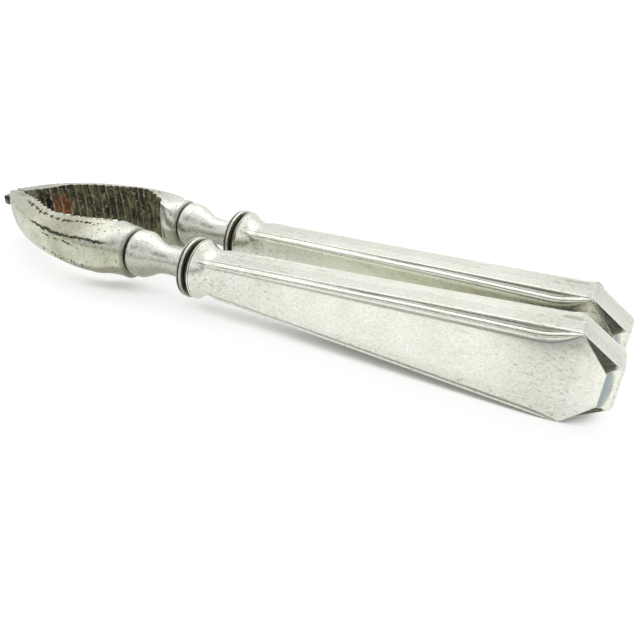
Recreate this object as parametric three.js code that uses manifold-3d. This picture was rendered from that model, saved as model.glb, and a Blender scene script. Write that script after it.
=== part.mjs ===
// A pair of table nutcrackers with hollow silver handles, closed and lying flat, hinge rivets upright.
// Two forged steel arms are joined at the nose by a link plate, and each turns on its own rivet.
// Each arm is one forging: a toothed jaw, a turned bolster and waist, a beaded flange, and a tang
// that is bedded in pitch inside its handle. Each handle is a ferrule and two stamped half shells,
// soldered along the middle of the narrow sides.
// Millimetres. +X runs from the noses to the handle ends, +Y from front arm to rear, +Z up the rivets.
import * as THREE from "three";
import { mergeVertices } from "three/addons/utils/BufferGeometryUtils.js";
import Module from "manifold-3d";

const wasm = await Module();
wasm.setup();

// Jaws: places along X are measured from the front of the hinge link, and across Y from the plane
// between the arms.
const jawLength = 56; // to the groove behind the jaw
const jawHalfWidth = 19.5; // to the outer face where it bulges most
const jawHalfHeight = 6.6; // of the nut face, where it is tallest
const cavityHalfWidth = 11.6; // to the tooth crests where the jaws stand furthest apart
const landWidth = 1.6; // flat strip between the nut face and the sloping facet
const outerBulge = 0.35; // how far the outer face swells between its two ridges
const seamHalfGap = 0.15; // between the two jaws where they meet at the nose

// Teeth across the nut face, and the smooth shoulder where they stop.
const toothPitch = 2.19;
const toothDepth = 0.85;
const toothStart = 7.6;
const shoulderLength = 6.8;
const toothEnd = jawLength - shoulderLength;
const toothCount = Math.round((toothEnd - toothStart) / toothPitch);
const shoulderStep = 0.9; // the smooth shoulder stands this far proud of the crests
const shoulderBelly = 1.1; // how much deeper the shoulder is below than above

// Hinge: a link plate lies in a slot through both noses, and stands out in front and at the sides.
const noseStart = 1.0; // the noses stand back from the front of the link
const rivetOffset = 1.75; // plane between the arms to the axis of each rivet
const rivetRadius = 0.7;
const rivetHalfLength = 2.75; // filed flush with the nose
const linkLength = 7.4; // across both arms
const linkBehindRivets = 1.9;
const linkCornerRadius = 1.0;
const linkHalfThickness = 1.15;
const hingeClearance = 0.12; // between the link, its slot and the rivets
const noseRadius = rivetOffset - seamHalfGap; // each nose is round about its rivet
const rivetStation = noseStart + noseRadius;

// Arm behind the jaw, turned about its own axis, with the flange against the handle.
const armOffset = 10.9; // plane between the arms to the arm's axis, at the groove behind the jaw
const armLean = THREE.MathUtils.degToRad(1.65); // each axis leans in towards the handle ends
const shoulderRadius = 6.3; // where the jaw ends in a round shoulder
const shoulderRounding = 1.1;
const grooveRadius = 5.35;
const grooveWidth = 0.5;
const bolsterLength = 16.8; // groove to the front of the flange
const bolsterRadius = 6.05;
const waistRadius = 3.6;
const flangeRadius = 7.6;
const flangeThickness = 1.5;
const flangeFootRadius = 4.9;
const beadGrooveDepth = 0.35;

// Tang: a square tapered spike inside the handle.
const tangLength = 56;
const tangRootHalfWidth = 2.0;
const tangTipHalfWidth = 1.1;

// Handle, measured from the front of the flange along the arm's axis.
const handleLength = 99.5; // to the edges of the end, which swells a little beyond them
const endHalfHeight = 10.6; // at the two cut corners, the widest place
const endFlatHalfHeight = 5.0; // of the flat between the two corner cuts
const cornerCut = 8.3; // how far before the end the corner cuts start
const neckStation = 5.6; // where the round mouth has become the moulded section
const neckHalfHeight = 4.9;
const neckPanelHalfThickness = 4.7;
const endPanelHalfThickness = 5.5;
const neckBandHalfWidth = 3.3; // the band is the narrow side of the handle
const endBandHalfWidth = 4.0;
const coveDepthAtNeck = 1.3; // from the narrow side down to the edge of the broad panel
const coveDepthAtEnd = 2.8;
const coveRunOut = 12.5; // length over which the cove closes before the corner
const coveRunOutPower = 1.25; // the cove closes slowly, then faster
const cornerStep = 0.7; // what is left of the cove's step at the corner
const panelFlatShare = 0.6; // the panel dips towards its corners beyond this share of its half height
const endBevel = 2.4; // length of the hollow bevel between the panel and the flat end
const endBevelInset = 0.3; // how far the panel's end is narrower than the flat end
const endBevelPower = 1.7; // the bevel falls fast at the panel and runs out flat
const endSwell = 0.8; // how far the middle of the end stands beyond its edges
const endFlatShare = 0.6; // of the band's width that stays flat at the end
const mouthRadius = 7.3;
const shellWall = 0.6;
const seamGap = 0.1; // solder line between the half shells

// Ferrule between the flange and the shells, and the pitch that holds the tang.
const seatGap = 0.1;
const ferruleGrooveWidth = 1.3;
const ferruleGrooveRadius = 6.3;
const ferruleBeadWidth = 0.4;
const ferruleBeadRadius = 7.5;
const ferruleSpigotLength = 1.6;
const ferruleSpigotRadius = 3.75;
const ferruleBoreRadius = 3.0;
const pitchGap = 0.3;
const shellStart = flangeThickness + 2 * seatGap + ferruleGrooveWidth + ferruleBeadWidth;

// Facets and overrun of cutting bodies.
const cutOverrun = 2;
const turnedSides = 28;
const smallSides = 20;
const coveSteps = 3;
const facetSteps = 4;
const mergeDistance = 1e-4;

// One closed solid from a geometry: only positions count, shared corners are merged, and faces that
// have shrunk to a line are left out.
function solid(geometry) {
  const bare = geometry.index ? geometry.clone() : geometry;
  bare.deleteAttribute("normal");
  bare.deleteAttribute("uv");
  const merged = mergeVertices(bare, mergeDistance);
  const whole = [];
  for (let i = 0; i < merged.index.count; i += 3) {
    const [a, b, c] = merged.index.array.subarray(i, i + 3);
    if (a !== b && b !== c && c !== a) whole.push(a, b, c);
  }
  return new wasm.Manifold(
    new wasm.Mesh({
      numProp: 3,
      vertProperties: merged.attributes.position.array,
      triVerts: new Uint32Array(whole),
    }),
  );
}

// Back to a geometry that three.js can draw.
function geometryOf(body) {
  const mesh = body.getMesh();
  const corners = new Float32Array(mesh.numVert * 3);
  for (let i = 0; i < mesh.numVert; i++) {
    corners.set(mesh.vertProperties.subarray(i * mesh.numProp, i * mesh.numProp + 3), i * 3);
  }
  const geometry = new THREE.BufferGeometry();
  geometry.setAttribute("position", new THREE.BufferAttribute(corners, 3));
  geometry.setIndex(new THREE.BufferAttribute(new Uint32Array(mesh.triVerts), 1));
  geometry.computeVertexNormals();
  return geometry;
}

// A skin over rings with equal point counts, each end closed by a fan about its middle.
// The rings run clockwise as seen from the end that the loft starts at.
function loft(rings) {
  const count = rings[0].length;
  const corners = rings.flat();
  const faces = [];
  for (let ring = 0; ring < rings.length - 1; ring++) {
    for (let i = 0; i < count; i++) {
      const a = ring * count + i;
      const b = ring * count + ((i + 1) % count);
      faces.push(a, b, a + count, b, b + count, a + count);
    }
  }
  for (const [ring, flip] of [[0, false], [rings.length - 1, true]]) {
    const middle = corners.length;
    const centre = rings[ring].reduce((sum, p) => sum.add(p), new THREE.Vector3());
    corners.push(centre.divideScalar(count));
    for (let i = 0; i < count; i++) {
      const a = ring * count + i;
      const b = ring * count + ((i + 1) % count);
      faces.push(middle, flip ? a : b, flip ? b : a);
    }
  }
  const geometry = new THREE.BufferGeometry().setFromPoints(corners);
  geometry.setIndex(faces);
  return geometry;
}

// A smooth curve through values at rising stations, read at any station.
function through(stations, values) {
  const last = stations.length - 1;
  const slopes = stations.map((_, i) => {
    const before = Math.max(0, i - 1);
    const after = Math.min(last, i + 1);
    return (values[after] - values[before]) / (stations[after] - stations[before]);
  });
  return (station) => {
    const i = Math.min(last - 1, Math.max(0, stations.findIndex((s) => s > station) - 1));
    const k = station >= stations[last] ? last - 1 : i;
    const span = stations[k + 1] - stations[k];
    const t = (station - stations[k]) / span;
    const rise = values[k + 1] - values[k];
    const a = slopes[k] * span - rise;
    const b = rise - slopes[k + 1] * span;
    return values[k] + t * rise + t * (1 - t) * (a * (1 - t) + b * t);
  };
}

const mix = THREE.MathUtils.lerp;
const ease = (x, from, to) => THREE.MathUtils.smoothstep(x, from, to);

// Places between two ends, both included.
function spread(from, to, steps) {
  return Array.from({ length: steps + 1 }, (_, i) => mix(from, to, i / steps));
}

// A solid of revolution about the X axis, from a closed outline of [place along X, radius] points.
function turned(outline, sides) {
  const points = outline.map(([x, radius]) => new THREE.Vector2(radius, x));
  return new THREE.LatheGeometry(points, sides).rotateZ(-Math.PI / 2);
}

// A disc or post along Z.
function post(radius, low, high, sides) {
  const cylinder = new THREE.CylinderGeometry(radius, radius, high - low, sides);
  return cylinder.rotateX(Math.PI / 2).translate(0, 0, (low + high) / 2);
}

// The arm's frame: its origin is the front of the flange, and its X runs down the handle.
const armFrame = new THREE.Matrix4()
  .makeTranslation(
    jawLength + bolsterLength * Math.cos(armLean),
    armOffset - bolsterLength * Math.sin(armLean),
    0,
  )
  .multiply(new THREE.Matrix4().makeRotationZ(-armLean));

// Jaw outlines: four curves along X, given where the jaw's form changes, as shares of its main sizes.
const jawStationShares = [0, 0.143, 0.321, 0.536, 0.75, 0.89];
const jawRidgeShares = [0.046, 0.385, 0.679, 0.908, 0.995, 0.954]; // of jawHalfWidth
const jawCrestShares = [0, 0.082, 0.547, 0.957, 0.983, 0.664]; // of cavityHalfWidth
const jawHeightShares = [0.333, 0.636, 0.8, 0.88, 1, 0.95]; // of jawHalfHeight
const jawRidgeHeightShares = [0.28, 0.47, 0.56, 0.575, 0.59, 0.62]; // of jawHalfHeight
const jawStations = [...jawStationShares.map((share) => share * jawLength), jawLength];
const jawCurve = (shares, size, atGroove) =>
  through(jawStations, [...shares.map((share) => share * size), atGroove]);
const ridgeAt = jawCurve(jawRidgeShares, jawHalfWidth, armOffset + shoulderRadius);
const crestAt = jawCurve(jawCrestShares, cavityHalfWidth, armOffset - shoulderRadius);
const heightAt = jawCurve(jawHeightShares, jawHalfHeight, shoulderRadius);
const ridgeHeightAt = jawCurve(jawRidgeHeightShares, jawHalfHeight, shoulderRadius / 2);
const roundingStartShare = 0.82; // where along the jaw its facets start to melt into the round groove
const bellyStartShare = 0.55;

// Bolster outline between the groove and the flange: places along it, and its swell from waist to bolster.
const bolsterStationShares = [0, 0.08, 0.18, 0.3, 0.42, 0.58, 0.74, 0.9];
const bolsterSwellShares = [0.97, 1, 0.96, 0.6, 0.2, 0, 0.02, 0.18];

// One jaw section: nut face, land, sloping facet, outer face, and the same again below.
function jawRing(x) {
  const crest = crestAt(x);
  const face = Math.max(seamHalfGap, crest - shoulderStep);
  const height = heightAt(x);
  const nose = Math.sqrt(1 - (1 - Math.min((x - noseStart) / noseRadius, 1)) ** 2);
  const ridge = mix(rivetOffset, ridgeAt(x), nose);
  const ridgeHeight = ridgeHeightAt(x);
  const land = Math.min(Math.max(crest, face) + landWidth, mix(face, ridge, 0.5));
  const swell = (z) => ridge + outerBulge * (1 - (z / ridgeHeight) ** 2);
  const facet = spread(0, 1, facetSteps).map((t) => [mix(ridge, land, t), mix(ridgeHeight, height, t)]);
  const half = [
    [swell(0), 0],
    [swell(ridgeHeight / 2), ridgeHeight / 2],
    ...facet,
    [face, height],
    [face, height / 2],
    [face, 0],
  ];
  const round = ease(x, roundingStartShare * jawLength, jawLength - shoulderRounding);
  const turn = Math.max(0, (x - jawLength) / shoulderRounding + 1);
  const radius = mix(grooveRadius, shoulderRadius, Math.sqrt(1 - turn * turn));
  const middle = mix((face + ridge) / 2, armOffset, round);
  const belly = 1 + (shoulderBelly / shoulderRadius) * ease(x, bellyStartShare * jawLength, toothEnd) * (1 - turn);
  const below = half.slice(1, -1).reverse();
  return [...half, ...below.map(([y, z]) => [y, -z])].map(([y, z]) => {
    const even = radius / Math.hypot(y - middle, z);
    const scale = mix(1, even, round);
    return new THREE.Vector3(x, middle + (y - middle) * scale, z * scale * (z < 0 ? belly : 1));
  });
}

// What the nut face is cut with: the room between the jaws, bounded by the toothed line.
function toothCutter() {
  const pitch = (toothEnd - toothStart) / toothCount;
  const outline = new THREE.Shape();
  outline.moveTo(toothStart - pitch, -cutOverrun);
  outline.lineTo(toothStart - pitch, crestAt(toothStart - pitch));
  for (let tooth = 0; tooth < toothCount; tooth++) {
    const x = toothStart + tooth * pitch;
    outline.lineTo(x, crestAt(x));
    outline.lineTo(x + pitch / 2, crestAt(x + pitch / 2) + toothDepth);
  }
  outline.lineTo(toothEnd, crestAt(toothEnd));
  outline.lineTo(toothEnd, -cutOverrun);
  const depth = 2 * (jawHalfHeight + cutOverrun);
  return new THREE.ExtrudeGeometry(outline, { depth, bevelEnabled: false }).translate(0, 0, -depth / 2);
}

// Bolster, waist and beaded flange, as turned on the arm's own axis.
function turnedArm() {
  const front = -bolsterLength;
  const shoulder = front + grooveWidth;
  const flare = bolsterStationShares.map((along, i) => [
    mix(shoulder, 0, along),
    mix(waistRadius, bolsterRadius, bolsterSwellShares[i]),
  ]);
  const bead = flangeThickness / 4;
  return turned(
    [
      [front - cutOverrun, 0],
      [front - cutOverrun, grooveRadius - grooveWidth],
      [front, grooveRadius - grooveWidth],
      [shoulder, grooveRadius - grooveWidth],
      ...flare,
      [0, flangeFootRadius],
      [0, flangeRadius - bead],
      [bead, flangeRadius - beadGrooveDepth / 2],
      [2 * bead, flangeRadius - beadGrooveDepth],
      [3 * bead, flangeRadius],
      [flangeThickness, flangeRadius - bead],
      [flangeThickness, 0],
    ],
    turnedSides,
  );
}

// The tang, a square spike with its flats towards the handle's broad and narrow sides.
function tang(extra) {
  const length = tangLength + extra;
  const spike = new THREE.CylinderGeometry(
    (tangTipHalfWidth + extra) * Math.SQRT2,
    (tangRootHalfWidth + extra) * Math.SQRT2,
    length,
    4,
  );
  return spike
    .rotateY(Math.PI / 4)
    .rotateZ(-Math.PI / 2)
    .translate(length / 2, 0, 0);
}

// The nose is rounded about its rivet, slotted for the link and drilled.
function withHingeSlot(jaw) {
  const reach = jawHalfHeight + cutOverrun;
  const slot = linkHalfThickness + hingeClearance;
  const onRivet = (radius, half, sides) =>
    solid(post(radius, -half, half, sides).translate(rivetStation, rivetOffset, 0));
  const side = noseRadius + cutOverrun;
  const quarter = new THREE.BoxGeometry(side, side, 2 * reach);
  quarter.translate(rivetStation - side / 2, rivetOffset - side / 2, 0);
  const front = new THREE.BoxGeometry(side, 2 * jawHalfWidth, 2 * slot);
  front.translate(rivetStation - side / 2, 0, 0);
  const cornerReach = Math.hypot(
    rivetStation - linkCornerRadius,
    linkLength / 2 - rivetOffset - linkCornerRadius,
  );
  const clear = cornerReach + linkCornerRadius + hingeClearance;
  const inner = new THREE.BoxGeometry(clear + side, side, 2 * slot);
  inner.translate(rivetStation + (clear - side) / 2, rivetOffset - side / 2, 0);
  return jaw
    .subtract(solid(quarter).subtract(onRivet(noseRadius, reach, turnedSides)))
    .subtract(solid(front))
    .subtract(solid(inner))
    .subtract(onRivet(clear, slot, turnedSides))
    .subtract(onRivet(rivetRadius + hingeClearance, reach, smallSides));
}

// A whole forged arm, drawn on the +Y side.
function forgedArm() {
  const stations = [
    ...spread(noseStart + seamHalfGap / 2, rivetStation, 3),
    ...spread(rivetStation, toothStart, 3).slice(1),
    ...spread(toothStart, toothEnd, 16).slice(1),
    ...spread(toothEnd, jawLength - shoulderRounding, 4).slice(1),
    ...spread(jawLength - shoulderRounding, jawLength, 4).slice(1),
  ];
  const blank = solid(loft(stations.map(jawRing)));
  const jaw = withHingeSlot(blank.subtract(solid(toothCutter())));
  const rear = solid(turnedArm().applyMatrix4(armFrame));
  const spike = solid(tang(0).applyMatrix4(armFrame));
  return geometryOf(jaw.add(rear).add(spike));
}

// Handle section sizes at a place s along the handle. An inset draws the same form further in.
function handleSection(s, inset) {
  const cornerStation = handleLength - cornerCut;
  const bevelStation = handleLength - endBevel;
  const along = (s - neckStation) / (cornerStation - neckStation);
  const widening = mix(neckHalfHeight, endHalfHeight, Math.min(along, 1));
  const cut = THREE.MathUtils.clamp((s - cornerStation) / cornerCut, 0, 1);
  const height = mix(widening, endFlatHalfHeight, cut);
  const band = mix(neckBandHalfWidth, endBandHalfWidth, Math.min(along, 1));
  const thickness = mix(neckPanelHalfThickness, endPanelHalfThickness, Math.min(along, 1));
  const runOut = THREE.MathUtils.clamp((s - cornerStation + coveRunOut) / coveRunOut, 0, 1);
  const open = 1 - runOut ** coveRunOutPower;
  const coveDepth = mix(coveDepthAtNeck, coveDepthAtEnd, Math.min(along, 1)) * open;
  const cornerToBevel = THREE.MathUtils.clamp((s - cornerStation) / (bevelStation - cornerStation), 0, 1);
  const bevel = THREE.MathUtils.clamp((s - bevelStation) / endBevel, 0, 1);
  let panelHeight = height - coveDepth;
  if (s > cornerStation) {
    panelHeight = mix(endHalfHeight, endFlatHalfHeight - endBevelInset, cornerToBevel);
  }
  if (s > bevelStation) {
    panelHeight = mix(endFlatHalfHeight - endBevelInset, endFlatHalfHeight, bevel);
  }
  const edgeStep = mix(cornerStep, thickness - band, Math.max(open, cornerToBevel));
  const fall = (1 - bevel) ** endBevelPower;
  const mouthShare = THREE.MathUtils.clamp((neckStation - s) / (neckStation - shellStart), 0, 1);
  return {
    height: height - inset,
    band: band - inset,
    panelHeight: panelHeight - inset,
    panel: band + (thickness - band) * fall - inset,
    edge: band + edgeStep * fall - inset,
    mouth: mix(neckHalfHeight, mouthRadius, mouthShare ** 2) - inset,
    moulded: ease(s, shellStart, neckStation),
  };
}

// One ring round the handle: panel, cove and narrow side in each quarter, round at the mouth.
function handleRing(s, inset) {
  const at = handleSection(s, inset);
  const quarter = [
    [at.panel, 0],
    [at.panel, at.panelHeight * panelFlatShare],
    [at.edge, at.panelHeight],
  ];
  for (let step = 1; step <= coveSteps; step++) {
    const turn = (step / coveSteps) * (Math.PI / 2);
    quarter.push([
      at.edge - (at.edge - at.band) * Math.sin(turn),
      at.height - (at.height - at.panelHeight) * Math.cos(turn),
    ]);
  }
  const mirrored = (points, v, z) => points.map(([a, b]) => [a * v, b * z]);
  const outline = [
    ...quarter,
    ...mirrored([...quarter].reverse().slice(0, -1), -1, 1),
    ...mirrored(quarter, -1, -1),
    ...mirrored([...quarter].reverse().slice(0, -1), 1, -1),
  ];
  return outline.map(([v, z]) => {
    const reach = Math.hypot(v, z);
    const scale = mix(at.mouth / reach, 1, at.moulded);
    return new THREE.Vector3(s, v * scale, z * scale);
  });
}

// The swell of the end: rings that close in from the band's edges to the narrower flat.
function endRings() {
  const edge = handleRing(handleLength, 0);
  const cutSlope = (endHalfHeight - endFlatHalfHeight) / cornerCut;
  return spread(0, Math.PI / 2, 3).slice(1).map((turn) => {
    const rise = endSwell * Math.sin(turn);
    const width = mix(1, endFlatShare, 1 - Math.cos(turn));
    const height = 1 - (cutSlope * rise) / endFlatHalfHeight;
    return edge.map((p) => new THREE.Vector3(p.x + rise, p.y * width, p.z * height));
  });
}

// A closed body with the handle's form, from one place along it to its end.
function handleBody(from, inset, fine) {
  const corner = handleLength - cornerCut;
  const bevel = handleLength - endBevel;
  const stations = fine
    ? [
        ...spread(from, neckStation, 6),
        ...spread(neckStation, corner - coveRunOut, 3).slice(1),
        ...spread(corner - coveRunOut, corner, 6).slice(1),
        ...spread(corner, bevel, 2).slice(1),
        ...spread(bevel, handleLength, 4).slice(1),
      ]
    : [
        ...spread(from, neckStation, 3),
        corner - coveRunOut,
        corner - inset,
        handleLength - endBevel,
        handleLength - inset,
      ];
  const rings = stations.map((s) => handleRing(s, inset));
  if (fine) rings.push(...endRings());
  return solid(loft(rings));
}

// One half shell: side +1 is the outer half, which the palm presses, and -1 the inner half.
function halfShell(side) {
  const skin = handleBody(shellStart, 0, true).subtract(
    handleBody(shellStart - cutOverrun, shellWall, false),
  );
  const reach = mouthRadius + cutOverrun;
  const keep = new THREE.BoxGeometry(handleLength + cutOverrun, reach, 2 * (endHalfHeight + cutOverrun));
  keep.translate(
    (handleLength + cutOverrun) / 2,
    side * (reach / 2 + seamGap / 2),
    0,
  );
  return geometryOf(skin.intersect(solid(keep)));
}

// Ferrule: a grooved neck and a bead outside, and a short spigot inside the shells.
function ferrule() {
  const front = flangeThickness + seatGap;
  const beadStart = front + ferruleGrooveWidth;
  const beadEnd = beadStart + ferruleBeadWidth;
  const rim = mouthRadius;
  return turned(
    [
      [front, ferruleBoreRadius],
      [front, ferruleGrooveRadius],
      [beadStart, ferruleGrooveRadius],
      [beadStart, rim],
      [beadStart + ferruleBeadWidth / 4, ferruleBeadRadius],
      [beadEnd - ferruleBeadWidth / 4, ferruleBeadRadius],
      [beadEnd, rim],
      [beadEnd, ferruleSpigotRadius],
      [beadEnd + ferruleSpigotLength, ferruleSpigotRadius],
      [beadEnd + ferruleSpigotLength, ferruleBoreRadius],
      [front, ferruleBoreRadius],
    ],
    turnedSides,
  );
}

// Pitch: fills the handle behind the ferrule and grips the tang.
function pitchFilling() {
  const start = shellStart + ferruleSpigotLength + pitchGap;
  const filling = handleBody(start, shellWall + pitchGap, false);
  return geometryOf(filling.subtract(solid(tang(pitchGap))));
}

// The link plate, with round corners and a hole for each rivet.
function link() {
  const outline = new THREE.Shape();
  const back = rivetStation + linkBehindRivets - linkCornerRadius;
  const out = linkLength / 2 - linkCornerRadius;
  const corners = [[back, out], [linkCornerRadius, out], [linkCornerRadius, -out], [back, -out]];
  corners.forEach(([x, y], i) => {
    outline.absarc(x, y, linkCornerRadius, (i * Math.PI) / 2, ((i + 1) * Math.PI) / 2);
  });
  for (const side of [1, -1]) {
    const hole = new THREE.Path();
    hole.absarc(rivetStation, side * rivetOffset, rivetRadius + hingeClearance, 0, 2 * Math.PI);
    outline.holes.push(hole);
  }
  const depth = 2 * linkHalfThickness;
  const plate = new THREE.ExtrudeGeometry(outline, { depth, bevelEnabled: false, curveSegments: smallSides });
  return plate.translate(0, 0, -linkHalfThickness);
}

// A rivet, filed flush with the nose above and below.
function rivet(side) {
  const pin = post(rivetRadius, -rivetHalfLength, rivetHalfLength, smallSides);
  return pin.translate(rivetStation, side * rivetOffset, 0);
}

const platedSteel = new THREE.MeshStandardMaterial({ color: 0xc9c7bd, roughness: 0.32, metalness: 1 });
const silver = new THREE.MeshStandardMaterial({ color: 0xd6d4c9, roughness: 0.28, metalness: 1 });
const bareSteel = new THREE.MeshStandardMaterial({ color: 0x4b4741, roughness: 0.55, metalness: 0.9 });
const pitch = new THREE.MeshStandardMaterial({ color: 0x2b1d14, roughness: 0.7, metalness: 0 });

function named(name, geometry, material) {
  const mesh = new THREE.Mesh(geometry, material);
  mesh.name = name;
  return mesh;
}

// Everything on one side of the hinge, drawn on the +Y side.
function armGroup(prefix) {
  const group = new THREE.Group();
  group.add(named(`${prefix}_jaw_arm`, forgedArm(), platedSteel));
  const handle = new THREE.Group();
  handle.applyMatrix4(armFrame);
  handle.add(
    named(`${prefix}_handle_ferrule`, ferrule(), silver),
    named(`${prefix}_handle_outer_shell`, halfShell(1), silver),
    named(`${prefix}_handle_inner_shell`, halfShell(-1), silver),
    named(`${prefix}_handle_pitch`, pitchFilling(), pitch),
  );
  group.add(handle);
  return group;
}

const nutcracker = new THREE.Group();
const frontSide = armGroup("front");
frontSide.scale.y = -1;
nutcracker.add(
  frontSide,
  armGroup("rear"),
  named("hinge_link", link(), bareSteel),
  named("front_hinge_rivet", rivet(-1), bareSteel),
  named("rear_hinge_rivet", rivet(1), bareSteel),
);

// The origin is on the surface that the nutcracker lies on, under the middle of its length.
const extent = new THREE.Box3().setFromObject(nutcracker, true);
nutcracker.position.set(
  -(extent.min.x + extent.max.x) / 2,
  -(extent.min.y + extent.max.y) / 2,
  -extent.min.z,
);

export default nutcracker;
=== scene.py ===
import math
from types import SimpleNamespace

import bmesh
import bpy
import numpy as np
from mathutils import Matrix, Vector, noise


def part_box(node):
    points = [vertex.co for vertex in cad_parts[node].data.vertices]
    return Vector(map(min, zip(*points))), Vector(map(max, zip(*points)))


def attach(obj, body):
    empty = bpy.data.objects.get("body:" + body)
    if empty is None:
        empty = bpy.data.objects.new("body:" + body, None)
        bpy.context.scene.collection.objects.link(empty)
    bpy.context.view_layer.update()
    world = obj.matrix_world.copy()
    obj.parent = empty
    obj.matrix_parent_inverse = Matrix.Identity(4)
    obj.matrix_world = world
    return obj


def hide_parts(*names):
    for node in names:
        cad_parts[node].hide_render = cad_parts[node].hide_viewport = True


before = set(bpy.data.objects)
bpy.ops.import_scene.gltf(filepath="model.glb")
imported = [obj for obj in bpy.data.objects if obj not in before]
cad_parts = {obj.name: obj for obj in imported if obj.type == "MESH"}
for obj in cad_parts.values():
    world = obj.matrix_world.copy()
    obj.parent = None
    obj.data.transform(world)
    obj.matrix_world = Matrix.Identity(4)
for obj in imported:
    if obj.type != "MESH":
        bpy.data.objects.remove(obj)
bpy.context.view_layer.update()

# Hinge: a short link plate of bare tool steel with round ends, held between the two noses by
# a rivet in each. The plate is sawn and filed, and the rivets are hammered over and filed flush.
link_low, link_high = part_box("hinge_link")
nose_place = Vector((link_low.x, 0, (link_low.z + link_high.z) / 2))
link_depth = 4.5  # mm back from the link's front edge, where every place along the arms starts
link_half_width = 3.7
link_corner = 1.0
link_half_thickness = 1.15
rivet_place = (2.6, 1.75)  # mm back from the link's front, and out from the plane between the arms
rivet_radius = 0.7
rivet_half_length = 2.0
rivet_bevel = 0.05
rivet_rounding = 0.16
rivet_sides = 28
least_corner = 0.05
weld_distance = 2e-7  # metres
shortest_edge = 1e-8  # metres


def linear(hex_colour):
    """An sRGB hex colour as the linear numbers that a socket holds."""
    channels = [int(hex_colour[i : i + 2], 16) / 255 for i in (1, 3, 5)]
    turned = [c / 12.92 if c <= 0.04045 else ((c + 0.055) / 1.055) ** 2.4 for c in channels]
    return (*turned, 1.0)


def join(tree, node, inputs):
    """Links or sets each input of a node."""
    for key, value in inputs.items():
        if isinstance(value, bpy.types.NodeSocket):
            tree.links.new(value, node.inputs[key])
        else:
            node.inputs[key].default_value = value


def add(tree, kind, inputs=None, **settings):
    """A new node with its settings, and its inputs linked or set."""
    made = tree.nodes.new(kind)
    for key, value in settings.items():
        setattr(made, key, value)
    join(tree, made, inputs or {})
    return made


def wired(kind, inputs, **settings):
    """The same, in the tree of the first socket among its inputs."""
    tree = next(v.id_data for v in inputs.values() if isinstance(v, bpy.types.NodeSocket))
    return add(tree, kind, inputs, **settings)


def maths(operation, *values, clamp=False):
    settings = {"operation": operation, "use_clamp": clamp}
    return wired("ShaderNodeMath", dict(enumerate(values)), **settings).outputs[0]


def product(one, other):
    return maths("MULTIPLY", one, other)


def spread(value, low, high, to_low=0.0, to_high=1.0):
    """The value's range from low to high, turned into the range to_low to to_high."""
    ends = {"Value": value, "From Min": low, "From Max": high, "To Min": to_low, "To Max": to_high}
    return wired("ShaderNodeMapRange", ends).outputs["Result"]


def blend(share, under, over):
    """The colour under with a share of the colour over on it."""
    under, over = (linear(colour) if isinstance(colour, str) else colour for colour in (under, over))
    return wired("ShaderNodeMix", {0: share, 6: under, 7: over}, data_type="RGBA").outputs[2]


def tinted(colour, strength):
    """The colour times a strength."""
    return wired("ShaderNodeVectorMath", {0: colour, 3: strength}, operation="SCALE").outputs[0]


def patchy(place, size, detail=4.0, roughness=0.6):
    """Cloudy noise from 0 to 1 whose patches are about size metres across."""
    looks = {"Vector": place, "Scale": 1 / size, "Detail": detail, "Roughness": roughness}
    return wired("ShaderNodeTexNoise", looks).outputs["Fac"]


def stretched(place, scale):
    """The place with each axis scaled: a pattern on it is longer where the scale is under 1."""
    return wired("ShaderNodeMapping", {"Vector": place, "Scale": scale}).outputs[0]


def ramped(share, stops):
    """The colour at a share along stops, each a place and a hex colour."""
    made = wired("ShaderNodeValToRGB", {"Fac": share})
    elements = made.color_ramp.elements
    while len(elements) < len(stops):
        elements.new(0.5)
    for element, (place, colour) in zip(elements, stops):
        element.position = place
        element.color = linear(colour)
    return made.outputs["Color"]


def relief(height, strength, distance, under=None):
    """Bump of a real height in metres, on top of the bump under."""
    wanted = {"Height": height, "Strength": strength, "Distance": distance}
    if under:
        wanted["Normal"] = under
    return wired("ShaderNodeBump", wanted).outputs["Normal"]


def carried(tree, *names):
    """The numbers that the mesh carries at each corner under these names."""
    return [add(tree, "ShaderNodeAttribute", attribute_name=name).outputs["Fac"] for name in names]


def completed(finish, colour, roughness, normal, metallic):
    """The finish, with these four results on its shader."""
    results = {"Base Color": colour, "Roughness": roughness, "Normal": normal, "Metallic": metallic}
    join(finish.node_tree, finish.node_tree.nodes["Principled BSDF"], results)
    return finish


def empty_finish(name):
    """A new material, its node tree and its Object coordinates."""
    finish = bpy.data.materials.new(name)
    finish.use_nodes = True
    return finish, finish.node_tree, add(finish.node_tree, "ShaderNodeTexCoord").outputs["Object"]


def in_frame(points):
    """Millimetres from the link's front and the arms' middle plane, as metres in the CAD frame."""
    return np.asarray(points, float) / 1000 + np.array(nose_place)


def along_frame(place):
    """Millimetres behind the link's front, as metres along X in the CAD frame."""
    return in_frame([place, 0, 0])[0]


def solid_mesh(name, points, faces, values=None):
    """A closed mesh that faces outwards, with one number a corner for each name in values."""
    mesh = bpy.data.meshes.new(name)
    mesh.from_pydata([tuple(p) for p in in_frame(points)], [], faces)
    for key, numbers in (values or {}).items():
        numbers = np.asarray(numbers, np.float32)
        mesh.attributes.new(key, "FLOAT", "POINT").data.foreach_set("value", numbers)
    work = bmesh.new()
    work.from_mesh(mesh)
    bmesh.ops.remove_doubles(work, verts=work.verts, dist=weld_distance)
    bmesh.ops.dissolve_degenerate(work, edges=work.edges, dist=shortest_edge)
    bmesh.ops.recalc_face_normals(work, faces=work.faces)
    work.to_mesh(mesh)
    work.free()
    return mesh


def ring_faces(rings, count, closed=True):
    """Quads between rings of count points, each ring closed or open."""
    faces = []
    last = count if closed else count - 1
    for ring in range(rings - 1):
        for i in range(last):
            a, b = ring * count + i, ring * count + (i + 1) % count
            faces.append((a, b, b + count, a + count))
    return faces


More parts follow.
